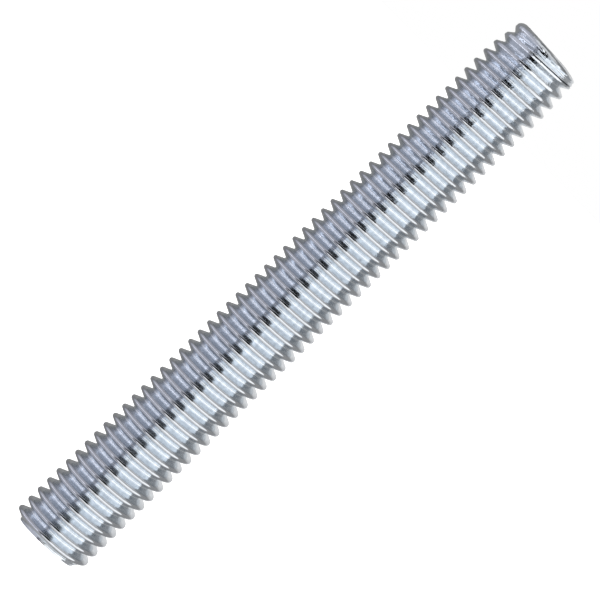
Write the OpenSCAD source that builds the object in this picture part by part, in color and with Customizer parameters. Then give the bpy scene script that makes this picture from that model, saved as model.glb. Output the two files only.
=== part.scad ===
// Fully threaded metric rod, a plain length of studding with a thread from end to end.
// The rod stands on its foot: the foot's centre is the origin and +Z runs up the axis.

/* [Rod] */
// Length over both ends, in millimetres
length = 80; // [20:1:120]
// Diameter over the crests; a 10 mm thread of ordinary class measures 9.73 to 9.97
major_d = 9.9; // [7.5:0.1:13.5]

/* [Thread] */
// Rise of the thread in one turn
pitch = 1.5; // [1.25:0.05:2.5]
// Angle between the two flanks of a groove
flank_angle = 60; // [50:1:70]
// Width of the land left along each crest
crest_land = 0.19; // [0.1:0.01:0.4]
// Width of the groove's floor; with the flanks it sets how deep the groove goes
root_land = 0.16; // [0.08:0.01:0.4]
// Which way the thread climbs
hand = "right"; // [right, left]
// Direction in which a crest would cross the foot plane, in degrees from +X
start_angle = 258; // [0:1:359]

/* [Ends] */
// How far the foot's chamfer cuts in from the crests
foot_chamfer = 0.85; // [0.2:0.05:1.5]
// Slope of the foot's chamfer, measured from the axis
foot_chamfer_angle = 45; // [30:1:60]
// Length of the slim lead that starts a nut, at the top end
lead_length = 5; // [2:0.5:10]
// How far the lead has sunk below the crests where its rounded rim begins
lead_drop = 0.65; // [0.1:0.05:1.2]
// Radius of the rounded rim at the top end
rim_r = 0.7; // [0.2:0.1:1.5]

/* [Facets] */
// Most straight steps that draw one turn of the thread
steps_limit = 20; // [16:1:24]
// Most triangles that the swept thread may take
facet_limit = 11000; // [8000:500:11000]

/* [Hidden] */

zinc_colour = "#B9C1CC";
// The sweep runs this many turns past each end, and the blank's ends trim it
spare_turns = 1.5;
turns = ceil(length / pitch + 2 * spare_turns);
// Eight triangles draw one step of the sweep
steps = min(steps_limit, floor(facet_limit / (8 * turns)));

major_r = major_d / 2;
flank_slope = tan(flank_angle / 2);
thread_depth = (pitch - crest_land - root_land) / (2 * flank_slope);
root_r = major_r - thread_depth;
// The sweep stands proud of the crests, halfway along a straight step too, so the blank leaves round lands
proud = major_r / cos(180 / steps) - major_r + 0.01;
sweep_r = major_r + proud;
sweep_land = crest_land - 2 * proud * flank_slope;
flank_run = (thread_depth + proud) * flank_slope;
// One turn of the sweep's profile, as [radius, height above the middle of its crest]
profile = [
    [root_r, -sweep_land / 2 - flank_run],
    [sweep_r, -sweep_land / 2],
    [sweep_r, sweep_land / 2],
    [root_r, sweep_land / 2 + flank_run]
];
corners = len(profile);

// One corner of the profile, a number of steps up the helix
function helix_point(step, corner) =
    let (radius = profile[corner][0], angle = 360 * step / steps)
    [radius * cos(angle), radius * sin(angle), pitch * step / steps + profile[corner][1]];

// A closed screw: flank, land, flank and root climb the helix, and a cone closes each end
module screw_sweep() {
    last = steps * turns;
    rows = [for (k = [0:last]) for (j = [0:corners - 1]) helix_point(k, j)];
    low_tip = len(rows);
    high_tip = low_tip + 1;
    tips = [[0, 0, -2 * pitch], [0, 0, pitch * (turns + 2)]];
    // Each strip quad goes from step k to k + 1, and from corner j to j + 1
    strips = [
        for (k = [0:last - 1]) for (j = [0:corners - 2])
            let (a = k * corners + j) [a, a + 1, a + corners + 1, a + corners]
    ];
    // The root joins the last corner of one turn to the first corner of the turn above
    one_turn = steps * corners;
    roots = [
        for (k = [0:last - steps - 1])
            let (a = k * corners + corners - 1, b = k * corners + one_turn) [a, b, b + corners, a + corners]
    ];
    low_cap = [
        for (k = [0:steps - 1]) [k * corners, (k + 1) * corners, low_tip],
        for (j = [0:corners - 2]) [j + 1, j, low_tip],
        [one_turn, corners - 1, low_tip]
    ];
    top = last * corners;
    high_edge = top - one_turn + corners - 1;
    high_cap = [
        for (k = [0:steps - 1]) [high_edge + (k + 1) * corners, high_edge + k * corners, high_tip],
        for (j = [0:corners - 2]) [top + j, top + j + 1, high_tip],
        [high_edge, top, high_tip]
    ];
    triangles = [for (q = concat(strips, roots)) each [[q[0], q[1], q[2]], [q[0], q[2], q[3]]]];
    polyhedron(points = concat(rows, tips), faces = concat(triangles, low_cap, high_cap), convexity = 10);
}

// The sweep turned and dropped so that a crest meets the foot plane at start_angle
module placed_screw() {
    mirrored = hand == "left";
    mirror([0, mirrored ? 1 : 0, 0])
        rotate([0, 0, (mirrored ? -start_angle : start_angle) - 360 * spare_turns])
            translate([0, 0, -pitch * spare_turns])
                screw_sweep();
}

// The turned blank: a chamfered foot, a plain shank, a slim lead and a rounded rim
module turned_blank() {
    foot_r = major_r - foot_chamfer;
    foot_rise = foot_chamfer / tan(foot_chamfer_angle);
    lead_r = major_r - lead_drop;
    rim_z = length - rim_r;
    rotate_extrude($fn = 96) {
        polygon([
            [0, 0],
            [foot_r, 0],
            [major_r, foot_rise],
            [major_r, length - lead_length],
            [lead_r, rim_z],
            [0, rim_z]
        ]);
        translate([0, rim_z]) square([lead_r - rim_r, rim_r]);
        translate([lead_r - rim_r, rim_z]) circle(r = rim_r);
    }
}

// The whole rod, threaded over its full length
module threaded_rod() {
    color(zinc_colour)
        intersection() {
            placed_screw();
            turned_blank();
        }
}

threaded_rod();
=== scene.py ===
"""A short threaded rod of zinc-plated steel, standing on its foot in a light tent."""

import logging
import math
from dataclasses import dataclass, field
from enum import Enum

import bmesh
import bpy
from mathutils import Euler, Matrix, Vector


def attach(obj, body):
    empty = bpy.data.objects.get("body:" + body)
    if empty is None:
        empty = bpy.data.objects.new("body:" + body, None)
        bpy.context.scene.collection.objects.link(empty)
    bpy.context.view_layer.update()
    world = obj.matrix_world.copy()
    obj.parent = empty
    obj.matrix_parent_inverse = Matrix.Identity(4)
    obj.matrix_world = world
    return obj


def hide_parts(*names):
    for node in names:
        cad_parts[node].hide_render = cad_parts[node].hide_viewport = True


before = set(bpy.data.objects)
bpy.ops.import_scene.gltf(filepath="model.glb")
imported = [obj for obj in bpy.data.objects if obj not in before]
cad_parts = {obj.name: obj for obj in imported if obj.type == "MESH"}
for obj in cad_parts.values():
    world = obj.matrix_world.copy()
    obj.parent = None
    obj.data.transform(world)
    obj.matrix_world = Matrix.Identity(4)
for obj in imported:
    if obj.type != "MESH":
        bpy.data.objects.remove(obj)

LOG = logging.getLogger("threaded_rod")
MM = 0.001
WHITE = (1.0, 1.0, 1.0, 1.0)
# A mix node's sockets by number: its factor, its two values, its two colours, and the colour it gives
FACTOR = 0
FIRST_VALUE, SECOND_VALUE = 2, 3
FIRST_COLOUR, SECOND_COLOUR = 6, 7
MIXED_COLOUR = 2
# Two points nearer together than this are one, in millimetres
MERGE_GAP = 0.002
# A point nearer to an end's plane than this lies on it, in millimetres: in the cut, and after it
CUT_GAP = 0.0005
PLANE_GAP = 0.002
# A point nearer to the axis than this is the middle of an end, in millimetres
AXIS_GAP = 1e-6


class Hand(Enum):
    """Which way a thread climbs."""

    RIGHT = 1
    LEFT = -1


def clamp(value: float, low: float = 0.0, high: float = 1.0) -> float:
    """Keeps a value between two limits."""
    return min(max(value, low), high)


def linear_colour(code: str) -> tuple[float, float, float, float]:
    """Turns an sRGB hex colour into the linear values that a shader takes, by the sRGB curve.

    Args:
        code: The colour as "#RRGGBB".

    Returns:
        Red, green, blue and an alpha of 1.
    """
    parts = [int(code[k : k + 2], 16) / 255 for k in (1, 3, 5)]
    red, green, blue = (p / 12.92 if p <= 0.04045 else ((p + 0.055) / 1.055) ** 2.4 for p in parts)
    return red, green, blue, 1.0


def add_node(
    tree: bpy.types.NodeTree, kind: str, settings: dict | None = None, links: dict | None = None
) -> bpy.types.Node:
    """Adds one node to a tree, with its settings and what feeds it.

    Args:
        tree: The node tree of a material or of the world.
        kind: The node's type name.
        settings: Values by name, for a property of the node or else for one of its input sockets.
        links: Output sockets by the name or number of the input socket that each feeds.

    Returns:
        The new node.
    """
    node = tree.nodes.new(kind)
    for name, value in (settings or {}).items():
        if isinstance(name, str) and hasattr(node, name):
            setattr(node, name, value)
        else:
            node.inputs[name].default_value = value
    for name, source in (links or {}).items():
        tree.links.new(source, node.inputs[name])
    return node


def deselect_all() -> None:
    """Leaves nothing selected, because an operator acts on all that is."""
    bpy.ops.object.select_all(action="DESELECT")


@dataclass(frozen=True)
class ZincPlatedSteel:
    """Bright electro-zinc with a clear blue passivate, over a rolled steel thread.

    It is a hard cold mirror. Light that bounces from flank to flank comes back darker and bluer, and the
    burnished crests stay nearly white.
    """

    groove_colour: str = "#E0E5EA"
    crest_colour: str = "#CACDD1"
    stain_colour: str = "#B4B9BF"
    # Painted shade: the near-black colour laid into the creases of the folds
    crease_shade_colour: str = "#3C3D42"
    roughness: float = 0.08
    roughness_spread: float = 0.06
    # Sizes of the blotches, the streaks along the thread and the dents, in millimetres. The streaks that
    # the dies leave are about 0.01 apart, too fine to show, so they are drawn coarser
    blotch: float = 0.5
    streak: float = 0.06
    dent: float = 0.45
    # How many finer layers each noise has, and how much of its range is stretched to the whole
    blotch_layers: float = 3.0
    blotch_contrast: float = 0.18
    streak_layers: float = 2.0
    streak_contrast: float = 0.25
    dent_layers: float = 2.0
    dent_contrast: float = 0.3
    # Depths in millimetres
    dent_depth: float = 0.003
    streak_depth: float = 0.0004
    # Radii between which the groove's colour turns into the crest's, in millimetres
    groove_r: float = 4.6
    crest_r: float = 5.0
    # From the first height to the second, in millimetres, the dents grow and the stains fade, by shares
    knocked_from: float = 35.0
    knocked_to: float = 80.0
    dents_share: tuple[float, float] = (0.6, 9.0)
    stain_share: tuple[float, float] = (0.35, 0.28)

    def place(self, tree: bpy.types.NodeTree) -> dict[str, bpy.types.NodeSocket]:
        """Adds the nodes that say where on the rod a point lies.

        Args:
            tree: The material's node tree.

        Returns:
            The sockets for the point itself, its radius, its place for streaks round the axis, and how
            deeply it is dented and stained.
        """
        point = add_node(tree, "ShaderNodeTexCoord").outputs["Object"]
        parts = add_node(tree, "ShaderNodeSeparateXYZ", links={0: point})
        flat = add_node(
            tree, "ShaderNodeCombineXYZ", links={"X": parts.outputs["X"], "Y": parts.outputs["Y"]}
        )
        length = add_node(tree, "ShaderNodeVectorMath", {"operation": "LENGTH"}, {0: flat.outputs[0]})
        radius = length.outputs["Value"]
        ring = add_node(tree, "ShaderNodeCombineXYZ", links={"X": radius, "Z": parts.outputs["Z"]})
        knocked, stained = (
            add_node(
                tree,
                "ShaderNodeMapRange",
                {
                    "From Min": self.knocked_from * MM,
                    "From Max": self.knocked_to * MM,
                    "To Min": low,
                    "To Max": high,
                },
                {"Value": parts.outputs["Z"]},
            ).outputs["Result"]
            for low, high in (self.dents_share, self.stain_share)
        )
        return {
            "point": point,
            "radius": radius,
            "ring": ring.outputs[0],
            "knocked": knocked,
            "stained": stained,
        }

    def noise(
        self,
        tree: bpy.types.NodeTree,
        place: bpy.types.NodeSocket,
        size: float,
        layers: float,
        contrast: float,
    ) -> bpy.types.NodeSocket:
        """Adds a noise of a real size, drawn out to the whole range from 0 to 1.

        Args:
            tree: The material's node tree.
            place: The socket that the noise is read at.
            size: The size of its spots in millimetres.
            layers: How many finer layers it has.
            contrast: Half the share of the range that is stretched to the whole.

        Returns:
            The socket that gives the noise.
        """
        raw = add_node(
            tree, "ShaderNodeTexNoise", {"Scale": 1 / (size * MM), "Detail": layers}, {"Vector": place}
        )
        return add_node(
            tree,
            "ShaderNodeMapRange",
            {"From Min": 0.5 - contrast, "From Max": 0.5 + contrast},
            {"Value": raw.outputs[0]},
        ).outputs["Result"]

    def colour(
        self, tree: bpy.types.NodeTree, at: dict[str, bpy.types.NodeSocket], blotches: bpy.types.NodeSocket
    ) -> bpy.types.NodeSocket:
        """Adds the metal's tint: bluish in the grooves, plain on the crests, stained, and a painted shade
        that darkens each crease.

        Args:
            tree: The material's node tree.
            at: The sockets from place.
            blotches: The socket of the blotches.

        Returns:
            The socket that gives the colour.
        """
        height = add_node(
            tree,
            "ShaderNodeMapRange",
            {"From Min": self.groove_r * MM, "From Max": self.crest_r * MM},
            {"Value": at["radius"]},
        ).outputs["Result"]
        metal = add_node(
            tree,
            "ShaderNodeMix",
            {
                "data_type": "RGBA",
                FIRST_COLOUR: linear_colour(self.groove_colour),
                SECOND_COLOUR: linear_colour(self.crest_colour),
            },
            {FACTOR: height},
        )
        share = add_node(
            tree, "ShaderNodeMath", {"operation": "MULTIPLY"}, {0: blotches, 1: at["stained"]}
        )
        stained = add_node(
            tree,
            "ShaderNodeMix",
            {"data_type": "RGBA", SECOND_COLOUR: linear_colour(self.stain_colour)},
            {FACTOR: share.outputs[0], FIRST_COLOUR: metal.outputs[MIXED_COLOUR]},
        )
        # Painted shade: the creases of the folds are darkened toward a near-black colour, standing in for
        # the shade that falls inside them
        crease = add_node(tree, "ShaderNodeAttribute", {"attribute_name": "crease"})
        crease_shaded = add_node(
            tree,
            "ShaderNodeMix",
            {"data_type": "RGBA", SECOND_COLOUR: linear_colour(self.crease_shade_colour)},
            {FACTOR: crease.outputs["Fac"], FIRST_COLOUR: stained.outputs[MIXED_COLOUR]},
        )
        return crease_shaded.outputs[MIXED_COLOUR]

    def relief(
        self, tree: bpy.types.NodeTree, at: dict[str, bpy.types.NodeSocket]
    ) -> bpy.types.NodeSocket:
        """Adds the small dents, deeper where the end was knocked, and the streaks that the dies left.

        Args:
            tree: The material's node tree.
            at: The sockets from place.

        Returns:
            The socket that gives the bent normal.
        """
        dents = self.noise(tree, at["point"], self.dent, self.dent_layers, self.dent_contrast)
        deeper = add_node(tree, "ShaderNodeMath", {"operation": "MULTIPLY"}, {0: dents, 1: at["knocked"]})
        dented = add_node(
            tree,
            "ShaderNodeBump",
            {"Strength": 1.0, "Distance": self.dent_depth * MM},
            {"Height": deeper.outputs[0]},
        )
        streaks = self.noise(tree, at["ring"], self.streak, self.streak_layers, self.streak_contrast)
        streaked = add_node(
            tree,
            "ShaderNodeBump",
            {"Strength": 1.0, "Distance": self.streak_depth * MM},
            {"Height": streaks, "Normal": dented.outputs["Normal"]},
        )
        return streaked.outputs["Normal"]

    def material(self) -> bpy.types.Material:
        """Makes the material.

        Returns:
            The finished material.
        """
        made = bpy.data.materials.new("zinc_plated_steel")
        made.use_nodes = True
        tree = made.node_tree
        tree.nodes.clear()
        at = self.place(tree)
        blotches = self.noise(tree, at["point"], self.blotch, self.blotch_layers, self.blotch_contrast)
        rough = add_node(
            tree,
            "ShaderNodeMath",
            {"operation": "MULTIPLY_ADD", 1: self.roughness_spread, 2: self.roughness},
            {0: blotches},
        )
        shader = add_node(
            tree,
            "ShaderNodeBsdfPrincipled",
            {"Metallic": 1.0},
            {
                "Base Color": self.colour(tree, at, blotches),
                "Roughness": rough.outputs[0],
                "Normal": self.relief(tree, at),
            },
        )
        add_node(tree, "ShaderNodeOutputMaterial", links={"Surface": shader.outputs["BSDF"]})
        return made


@dataclass(frozen=True)
class WhiteAcrylic:
    """A sheet of matt white acrylic, lit from behind: an even white that keeps a shadow faint."""

    colour: str = "#F2F2F2"
    roughness: float = 0.6
    glow: float = 0.95

    def material(self) -> bpy.types.Material:
        """Makes the material.

        Returns:
            The finished material.
        """
        made = bpy.data.materials.new("white_acrylic")
        made.use_nodes = True
        tree = made.node_tree
        tree.nodes.clear()
        sheet = add_node(
            tree,
            "ShaderNodeBsdfPrincipled",
            {
                "Base Color": linear_colour(self.colour),
                "Roughness": self.roughness,
                "Emission Color": WHITE,
                "Emission Strength": self.glow,
            },
        )
        add_node(tree, "ShaderNodeOutputMaterial", links={"Surface": sheet.outputs["BSDF"]})
        return made


@dataclass(frozen=True)
class EndCut:
    """A plane across the rod, cropped a few degrees out of square, in millimetres."""

    height: float
    rise_x: float
    rise_y: float

    def z(self, x: float, y: float) -> float:
        """Gives the plane's height over a point of the rod's foot."""
        return self.height + self.rise_x * x + self.rise_y * y

    def normal(self) -> Vector:
        """Gives the plane's upward normal."""
        return Vector((-self.rise_x, -self.rise_y, 1.0)).normalized()


@dataclass(frozen=True)
class Fold:
    """A crease near the top where the rolled metal folded over, or the lip beside one, in millimetres.

    It runs along the thread from a depth below the top's cut, at a height above the crest line. A lip
    stands out, so its depth is negative.
    """

    start: float
    place: float
    width: float
    depth: float
    # Over what depth its low end fades out, and from which x, and over what width, its left end does
    fade: float = 0.15
    left_x: float = -1.8
    left_fade: float = 0.8

    def share(self, x: float, down: float, above: float) -> float:
        """Says how far into the fold a point lies.

        Args:
            x: The point's x.
            down: Its depth below the top's cut.
            above: Its height above the nearest crest line.

        Returns:
            0 beside the fold and 1 along its middle.
        """
        along = clamp((self.start - down) / self.fade) * clamp((x - self.left_x) / self.left_fade)
        return along * max(1 - abs(above - self.place) / self.width, 0.0)


@dataclass
class ThreadedRod:
    """The rod, in millimetres: its foot stands on z = 0 and its slim lead is at the top."""

    length: float = 80.0
    crest_r: float = 5.05
    pitch: float = 1.5
    hand: Hand = Hand.RIGHT
    start_angle: float = 258.4
    # The rolled thread: a low dome along the crest, straight flanks and a tight round root
    dome_round: float = 0.24
    dome_half: float = 0.225
    root_round: float = 0.1
    flank_angle: float = 26.0
    # Shares of a flank at which its short end faces stop, so that its shading stays straight between them
    flank_ends: tuple[float, float] = (0.04, 0.86)
    steps: int = 72
    spare_turns: int = 2
    foot: EndCut = EndCut(0.34, 0.04, -0.075)
    top: EndCut = EndCut(79.76, -0.04, 0.0)
    # The foot starts with a short pilot about as wide as the root, and then opens up to the crests
    foot_r: float = 3.95
    pilot: float = 0.3
    pilot_slope: float = 17.0
    foot_slope: float = 67.0
    # The lead is cut off-centre, so it stands out further on the +X side, by this much either way
    lead_length: float = 4.6
    lead_r: float = 4.62
    lead_lean: float = 0.2
    # The rim's rounding, down the rod and across it, and how much wider it is on the +X side
    rim_rise: float = 0.8
    rim_reach: float = 1.5
    rim_lean: float = 0.5
    # The groove fills up below the top's cut, between these two depths
    groove_ends: tuple[float, float] = (1.0, 0.45)
    # How far the low crests of the lead are worn flat, and over what depth the flat rounds off
    wear: float = 0.02
    wear_round: float = 0.06
    # The deep crease, the lip above it and a slighter crease nearer the top
    folds: tuple[Fold, ...] = (
        Fold(1.9, 0.1, 0.09, 0.18),
        Fold(1.7, 0.34, 0.13, -0.09),
        Fold(0.75, -0.38, 0.09, 0.06),
    )
    # Faces that meet at a wider angle than this keep a sharp edge, in degrees
    smooth_angle: float = 40.0
    finish: ZincPlatedSteel = field(default_factory=ZincPlatedSteel)

    def stations(self, dome: int = 5, flank: int = 2, floor: int = 3) -> list[tuple[float, float]]:
        """Lists the points that draw one turn's section, from root over crest to root.

        Args:
            dome: Steps over half the dome of the crest.
            flank: Even steps down a flank, with a shorter one at each end that keeps it straight.
            floor: Steps over half the round root.

        Returns:
            Height above the middle of the crest, and depth below it, for each point.
        """
        lean = math.radians(self.flank_angle)
        slope = 1 / math.tan(lean)
        half = self.pitch / 2
        dome_d = self.dome_half**2 / (2 * self.dome_round)
        floor_x = half - self.root_round * math.cos(lean)
        floor_d = dome_d + (floor_x - self.dome_half) * slope
        side = []
        for k in range(dome):
            x = self.dome_half * k / dome
            side.append((x, x**2 / (2 * self.dome_round)))
        upper, lower = self.flank_ends
        for share in [0.0, upper] + [k / flank for k in range(1, flank)] + [lower]:
            x = self.dome_half + (floor_x - self.dome_half) * share
            side.append((x, dome_d + (floor_d - dome_d) * share))
        for k in range(floor + 1):
            turn = (math.pi / 2 - lean) * (1 - k / floor)
            drop = self.root_round * (math.cos(turn) - math.sin(lean))
            side.append((half - self.root_round * math.sin(turn), floor_d + drop))
        return [(-x, d) for x, d in reversed(side[1:])] + side

    def draw_section(self) -> bpy.types.Object:
        """Draws one turn's section as a line of edges.

        Returns:
            The object that holds the line, in the plane y = 0.
        """
        points = self.stations()
        root_r = self.crest_r - points[0][1]
        crest_z = self.pitch * ((360.0 - self.start_angle) / 360.0 - self.spare_turns)
        deselect_all()
        bpy.ops.mesh.primitive_plane_add(
            size=self.pitch,
            location=(root_r + self.pitch / 2, 0, crest_z),
            rotation=(math.radians(90), 0, 0),
        )
        rod = bpy.context.object
        rod.name = rod.data.name = "rolled_rod"
        bpy.ops.object.transform_apply(location=True, rotation=True, scale=True)
        bpy.ops.object.mode_set(mode="EDIT")
        mesh = bmesh.from_edit_mesh(rod.data)
        for vert in mesh.verts:
            vert.select_set(vert.co.x > root_r + self.pitch / 2)
        bpy.ops.mesh.delete(type="VERT")
        bpy.ops.mesh.select_all(action="SELECT")
        bpy.ops.mesh.subdivide(number_cuts=len(points) - 2)
        mesh = bmesh.from_edit_mesh(rod.data)
        order = [vert.index for vert in sorted(mesh.verts, key=lambda vert: vert.co.z)]
        for k, (rise, deep) in zip(order, points):
            bpy.ops.mesh.select_all(action="DESELECT")
            mesh = bmesh.from_edit_mesh(rod.data)
            mesh.verts.ensure_lookup_table()
            vert = mesh.verts[k]
            vert.select_set(True)
            bpy.ops.transform.translate(
                value=(self.crest_r - deep - vert.co.x, 0, crest_z + rise - vert.co.z)
            )
        bpy.ops.object.mode_set(mode="OBJECT")
        return rod

    def sweep(self, rod: bpy.types.Object) -> None:
        """Winds the section up the rod, joins each turn to the next and crops both ends.

        Args:
            rod: The object that holds the section.
        """
        screw = rod.modifiers.new("wind", "SCREW")
        screw.axis = "Z"
        screw.angle = math.radians(360) * self.hand.value
        screw.screw_offset = self.pitch
        screw.iterations = math.ceil(self.length / self.pitch) + 2 * self.spare_turns
        screw.steps = screw.render_steps = self.steps
        screw.use_smooth_shade = True
        bpy.ops.object.modifier_apply(modifier=screw.name)
        bpy.ops.object.mode_set(mode="EDIT")
        bpy.ops.mesh.select_all(action="SELECT")
        bpy.ops.mesh.remove_doubles(threshold=MERGE_GAP)
        for cut, below in ((self.foot, True), (self.top, False)):
            bpy.ops.mesh.select_all(action="SELECT")
            bpy.ops.mesh.bisect(
                plane_co=(0, 0, cut.height),
                plane_no=cut.normal(),
                use_fill=True,
                clear_inner=below,
                clear_outer=not below,
                threshold=CUT_GAP,
            )
        bpy.ops.mesh.select_all(action="SELECT")
        bpy.ops.mesh.normals_make_consistent(inside=False)
        bpy.ops.object.mode_set(mode="OBJECT")

    def foot_limit(self, up: float) -> float:
        """Gives the largest radius that the foot leaves.

        Args:
            up: Height above the foot's cut.

        Returns:
            The radius in millimetres.
        """
        return (
            self.foot_r
            + min(up, self.pilot) * math.tan(math.radians(self.pilot_slope))
            + max(up - self.pilot, 0.0) * math.tan(math.radians(self.foot_slope))
        )

    def lead_limit(self, down: float, side: float) -> float:
        """Gives how far out the lead's low crests reach.

        Args:
            down: Depth below the top's cut.
            side: Which side of the rod, from -1 on -X to 1 on +X.

        Returns:
            The radius in millimetres.
        """
        sunk = clamp((self.lead_length - down) / (self.lead_length - self.rim_rise))
        return self.crest_r - (self.crest_r - self.lead_r - self.lead_lean * side) * sunk

    def rim_limit(self, down: float, side: float) -> float:
        """Gives the largest radius that the rounded rim leaves.

        Args:
            down: Depth below the top's cut.
            side: Which side of the rod, from -1 on -X to 1 on +X.

        Returns:
            The radius in millimetres.
        """
        if down >= self.rim_rise:
            return self.crest_r
        share = 1 - max(down, 0.0) / self.rim_rise
        reach = self.rim_reach + self.rim_lean * side
        return self.lead_limit(0.0, side) - reach * (1 - math.sqrt(1 - share**2))

    def above_crest(self, x: float, y: float, z: float) -> float:
        """Says how far a point lies above the nearest crest line, down to minus half a pitch.

        Args:
            x: The point's x.
            y: The point's y.
            z: The point's z.

        Returns:
            The height above the crest line in millimetres.
        """
        turn = (math.degrees(math.atan2(y, x)) * self.hand.value - self.start_angle) / 360.0
        return (z / self.pitch - turn + 0.5) % 1.0 * self.pitch - self.pitch / 2

    def lead_radius(self, x: float, y: float, z: float, radius: float) -> float:
        """Lowers a point of the lead: low, worn crests, a groove that fills up, the folds and the rim.

        Args:
            x: The point's x.
            y: The point's y.
            z: The point's z.
            radius: The point's distance from the axis.

        Returns:
            The new distance from the axis.
        """
        down = self.top.z(x, y) - z
        root_r = self.crest_r - self.stations()[0][1]
        limit = self.lead_limit(down, x / radius)
        low = radius
        if radius > root_r:
            low = root_r + (radius - root_r) * (limit - root_r) / (self.crest_r - root_r)
        flat = limit - self.wear
        over = clamp((low - flat) / self.wear_round, -1.0)
        if over > -1:
            low = flat - self.wear_round / 4 * (1 - over) ** 2
        start, end = self.groove_ends
        filled = clamp((start - down) / (start - end))
        low += max(flat - low, 0.0) * filled
        above = self.above_crest(x, y, z)
        low -= sum(fold.depth * fold.share(x, down, above) for fold in self.folds)
        return min(low, self.rim_limit(down, x / radius))

    def turn_ends(self, rod: bpy.types.Object) -> None:
        """Brings the thread in to the pilot and chamfer of the foot, and to the lead and rim of the top.

        How far each point lies in a crease is kept for the finish, which paints shade into the creases.

        Args:
            rod: The wound rod.
        """
        crease = rod.data.attributes.new("crease", "FLOAT", "POINT")
        for vert in rod.data.vertices:
            x, y, z = vert.co
            radius = math.hypot(x, y)
            up, down = z - self.foot.z(x, y), self.top.z(x, y) - z
            if radius < AXIS_GAP or (up > self.lead_length and down > self.lead_length):
                continue
            new = min(radius, self.foot_limit(up)) if up < down else self.lead_radius(x, y, z, radius)
            # The deepest crease's share is kept for the shade that the finish paints into the creases
            if down < self.lead_length:
                above = self.above_crest(x, y, z)
                deepest = max(fold.share(x, down, above) for fold in self.folds if fold.depth > 0)
                crease.data[vert.index].value = deepest
            x, y = x * new / radius, y * new / radius
            if abs(up) < PLANE_GAP:
                z = self.foot.z(x, y)
            elif abs(down) < PLANE_GAP:
                z = self.top.z(x, y)
            vert.co = (x, y, z)

    def build(self) -> bpy.types.Object:
        """Makes the whole rod and dresses it.

        Returns:
            The finished rod, in metres.
        """
        rod = self.draw_section()
        self.sweep(rod)
        self.turn_ends(rod)
        bpy.ops.transform.resize(value=(MM, MM, MM), center_override=(0, 0, 0))
        bpy.ops.object.transform_apply(location=True, rotation=True, scale=True)
        bpy.ops.object.shade_smooth_by_angle(angle=math.radians(self.smooth_angle))
        rod.data.materials.append(self.finish.material())
        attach(rod, "root")
        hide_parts("threaded_rod")
        return rod


@dataclass(frozen=True)
class TentPanel:
    """A part of the light tent's wall as seen from the rod, in degrees, laid over the parts before it.

    Bearings run from the camera's side, 0, to the right, 90. Heights run from straight down, -90, to
    straight up, 90.
    """

    name: str
    bearing: tuple[float, float]
    height: tuple[float, float]
    light: float
    # Half the width of the soft edge, sideways and up and down
    edges: tuple[float, float] = (4.0, 6.0)


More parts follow.
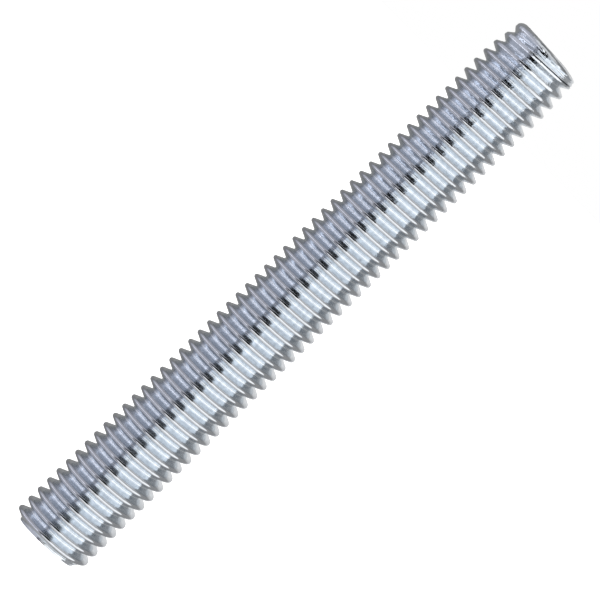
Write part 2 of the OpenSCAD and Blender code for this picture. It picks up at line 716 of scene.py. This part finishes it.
@dataclass
class Studio:
    """The floor, the light tent around the rod and the camera, in millimetres and degrees."""

    camera_place: tuple[float, float, float] = (0.0, -409.31, 74.94)
    heading: float = 0.0725
    pitch: float = -4.838
    roll: float = 45.549
    lens: float = 219.35
    sensor_width: float = 36.0
    clip_start: float = 10.0
    floor_r: float = 6000.0
    floor_sides: int = 96
    floor_finish: WhiteAcrylic = field(default_factory=WhiteAcrylic)
    wall_light: float = 0.3
    # The left side of the tent is lit by a cooler, slightly violet light
    cool_light: str = "#F1F1FC"
    cool_side: TentPanel = TentPanel("cool left side", (-140, -18), (-70, 70), 1.0, (8, 10))
    panels: tuple[TentPanel, ...] = (
        TentPanel("floor behind", (-250, 250), (-100, -48), 0.62, (5, 10)),
        TentPanel("floor in front", (-125, 115), (-100, -50), 1.0, (14, 12)),
        TentPanel("left wall, high", (-125, 0), (-60, 62), 0.58, (16, 10)),
        TentPanel("left wall, low", (-122, 0), (-54, 27), 0.7, (14, 7)),
        TentPanel("left window", (-108, 0), (-14, -1), 2.5, (12, 4)),
        TentPanel("dim above the left window", (-125, -44), (-4, 30), 0.74, (8, 4)),
        TentPanel("dim below the left window", (-125, -44), (-34, -14), 0.45, (8, 4)),
        TentPanel("right wall, high", (0, 125), (24, 91), 0.6, (8, 6)),
        TentPanel("right corner", (88, 138), (-44, 58), 0.4, (4, 8)),
        TentPanel("right diffuser, high", (0, 94), (-44, 28), 1.45, (3, 5)),
        TentPanel("right diffuser, middle", (0, 94), (-16, 8), 1.68, (3, 6)),
        TentPanel("right diffuser, bright edge", (0, 20), (6, 28), 1.8, (3, 5)),
        TentPanel("gap in the right diffuser", (60, 68), (13, 40), 0.85, (2, 4)),
        TentPanel("backdrop's right edge", (140, 181), (-28, 28), 0.8, (8, 6)),
        TentPanel("roof", (-250, 250), (62, 110), 0.85, (5, 8)),
        TentPanel("dark above the lens", (-36, 5), (12, 100), 0.0, (4, 6)),
        TentPanel("dark below the lens", (-36, 4), (-60, -40), 0.0, (3, 5)),
        TentPanel("dim beside the lens", (-36, -21), (-38, 8), 0.5, (3, 6)),
        TentPanel("front diffuser", (-21, 4), (-40, 4), 1.5, (5, 6)),
    )

    def add_camera(self) -> bpy.types.Object:
        """Puts the camera where the photograph was taken from.

        Returns:
            The camera.
        """
        data = bpy.data.cameras.new("camera")
        data.lens = self.lens
        data.sensor_width = self.sensor_width
        data.clip_start = self.clip_start * MM
        camera = bpy.data.objects.new("camera", data)
        bpy.context.scene.collection.objects.link(camera)
        tilt = Euler((math.radians(90 + self.pitch), 0, math.radians(-self.heading)), "XYZ").to_matrix()
        rolled = tilt @ Matrix.Rotation(math.radians(self.roll), 3, "Z")
        camera.matrix_world = Matrix.Translation(Vector(self.camera_place) * MM) @ rolled.to_4x4()
        bpy.context.scene.camera = camera
        return camera

    def add_panel(
        self,
        tree: bpy.types.NodeTree,
        panel: TentPanel,
        bearing: bpy.types.NodeSocket,
        height: bpy.types.NodeSocket,
    ) -> bpy.types.NodeSocket:
        """Adds the soft-edged mask of one panel to the world's nodes.

        Args:
            tree: The world's node tree.
            panel: The panel.
            bearing: The socket that gives a direction's bearing in degrees.
            height: The socket that gives its height in degrees.

        Returns:
            The socket that is 1 on the panel and 0 off it.
        """
        mask = None
        sides = ((bearing, panel.bearing, panel.edges[0]), (height, panel.height, panel.edges[1]))
        for source, (low, high), edge in sides:
            for at, outside, inside in ((low, 0.0, 1.0), (high, 1.0, 0.0)):
                ramp = add_node(
                    tree,
                    "ShaderNodeMapRange",
                    {
                        "interpolation_type": "SMOOTHSTEP",
                        "From Min": at - edge,
                        "From Max": at + edge,
                        "To Min": outside,
                        "To Max": inside,
                    },
                    {"Value": source},
                ).outputs["Result"]
                if mask is None:
                    mask = ramp
                else:
                    both = add_node(tree, "ShaderNodeMath", {"operation": "MULTIPLY"}, {0: mask, 1: ramp})
                    mask = both.outputs[0]
        return mask

    def add_tent(self) -> None:
        """Hangs the tent round the rod as the world's light. The camera itself sees only white."""
        world = bpy.data.worlds.new("light_tent")
        bpy.context.scene.world = world
        world.use_nodes = True
        # The tent is bright nearly all round, so aiming rays at its brighter parts would only cost time
        world.cycles.sampling_method = "NONE"
        tree = world.node_tree
        tree.nodes.clear()
        direction = add_node(tree, "ShaderNodeTexCoord").outputs["Generated"]
        parts = add_node(tree, "ShaderNodeSeparateXYZ", links={0: direction})
        toward = add_node(
            tree, "ShaderNodeMath", {"operation": "MULTIPLY", 1: -1.0}, {0: parts.outputs["Y"]}
        )
        turn = add_node(
            tree,
            "ShaderNodeMath",
            {"operation": "ARCTAN2"},
            {0: parts.outputs["X"], 1: toward.outputs[0]},
        )
        rise = add_node(tree, "ShaderNodeMath", {"operation": "ARCSINE"}, {0: parts.outputs["Z"]})
        bearing, height = (
            add_node(tree, "ShaderNodeMath", {"operation": "DEGREES"}, {0: source.outputs[0]}).outputs[0]
            for source in (turn, rise)
        )
        light = add_node(tree, "ShaderNodeValue")
        light.outputs[0].default_value = self.wall_light
        for panel in self.panels:
            mask = self.add_panel(tree, panel, bearing, height)
            light = add_node(
                tree,
                "ShaderNodeMix",
                {SECOND_VALUE: panel.light},
                {FACTOR: mask, FIRST_VALUE: light.outputs[0]},
            )
        tint = add_node(
            tree,
            "ShaderNodeMix",
            {"data_type": "RGBA", FIRST_COLOUR: WHITE, SECOND_COLOUR: linear_colour(self.cool_light)},
            {FACTOR: self.add_panel(tree, self.cool_side, bearing, height)},
        )
        tent = add_node(
            tree,
            "ShaderNodeBackground",
            links={"Color": tint.outputs[MIXED_COLOUR], "Strength": light.outputs[0]},
        )
        plain = add_node(tree, "ShaderNodeBackground", {"Color": WHITE, "Strength": 1.0})
        seen = add_node(tree, "ShaderNodeLightPath").outputs["Is Camera Ray"]
        either = add_node(
            tree,
            "ShaderNodeMixShader",
            links={0: seen, 1: tent.outputs["Background"], 2: plain.outputs["Background"]},
        )
        add_node(tree, "ShaderNodeOutputWorld", links={"Surface": either.outputs["Shader"]})

    def add_floor(self) -> bpy.types.Object:
        """Lays a wide white sheet under the rod, which the metal itself doesn't mirror.

        Returns:
            The floor.
        """
        deselect_all()
        bpy.ops.mesh.primitive_circle_add(
            vertices=self.floor_sides, radius=self.floor_r * MM, fill_type="NGON", location=(0, 0, 0)
        )
        floor = bpy.context.object
        floor.name = floor.data.name = "floor"
        floor.data.materials.append(self.floor_finish.material())
        floor.visible_glossy = False
        return floor

    def build(self) -> bpy.types.Object:
        """Sets the whole studio up.

        Returns:
            The floor.
        """
        self.add_camera()
        self.add_tent()
        floor = self.add_floor()
        view = bpy.context.scene.view_settings
        view.view_transform = "Standard"
        view.look = "None"
        return floor


def main() -> None:
    """Builds the rod and the studio."""
    logging.basicConfig(level=logging.INFO, format="%(name)s: %(message)s")
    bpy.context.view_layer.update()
    rod = ThreadedRod().build()
    LOG.info("%s has %d faces", rod.name, len(rod.data.polygons))
    studio = Studio()
    floor = studio.build()
    LOG.info("%s is laid under a tent of %d panels", floor.name, len(studio.panels))


if __name__ == "__main__":
    main()
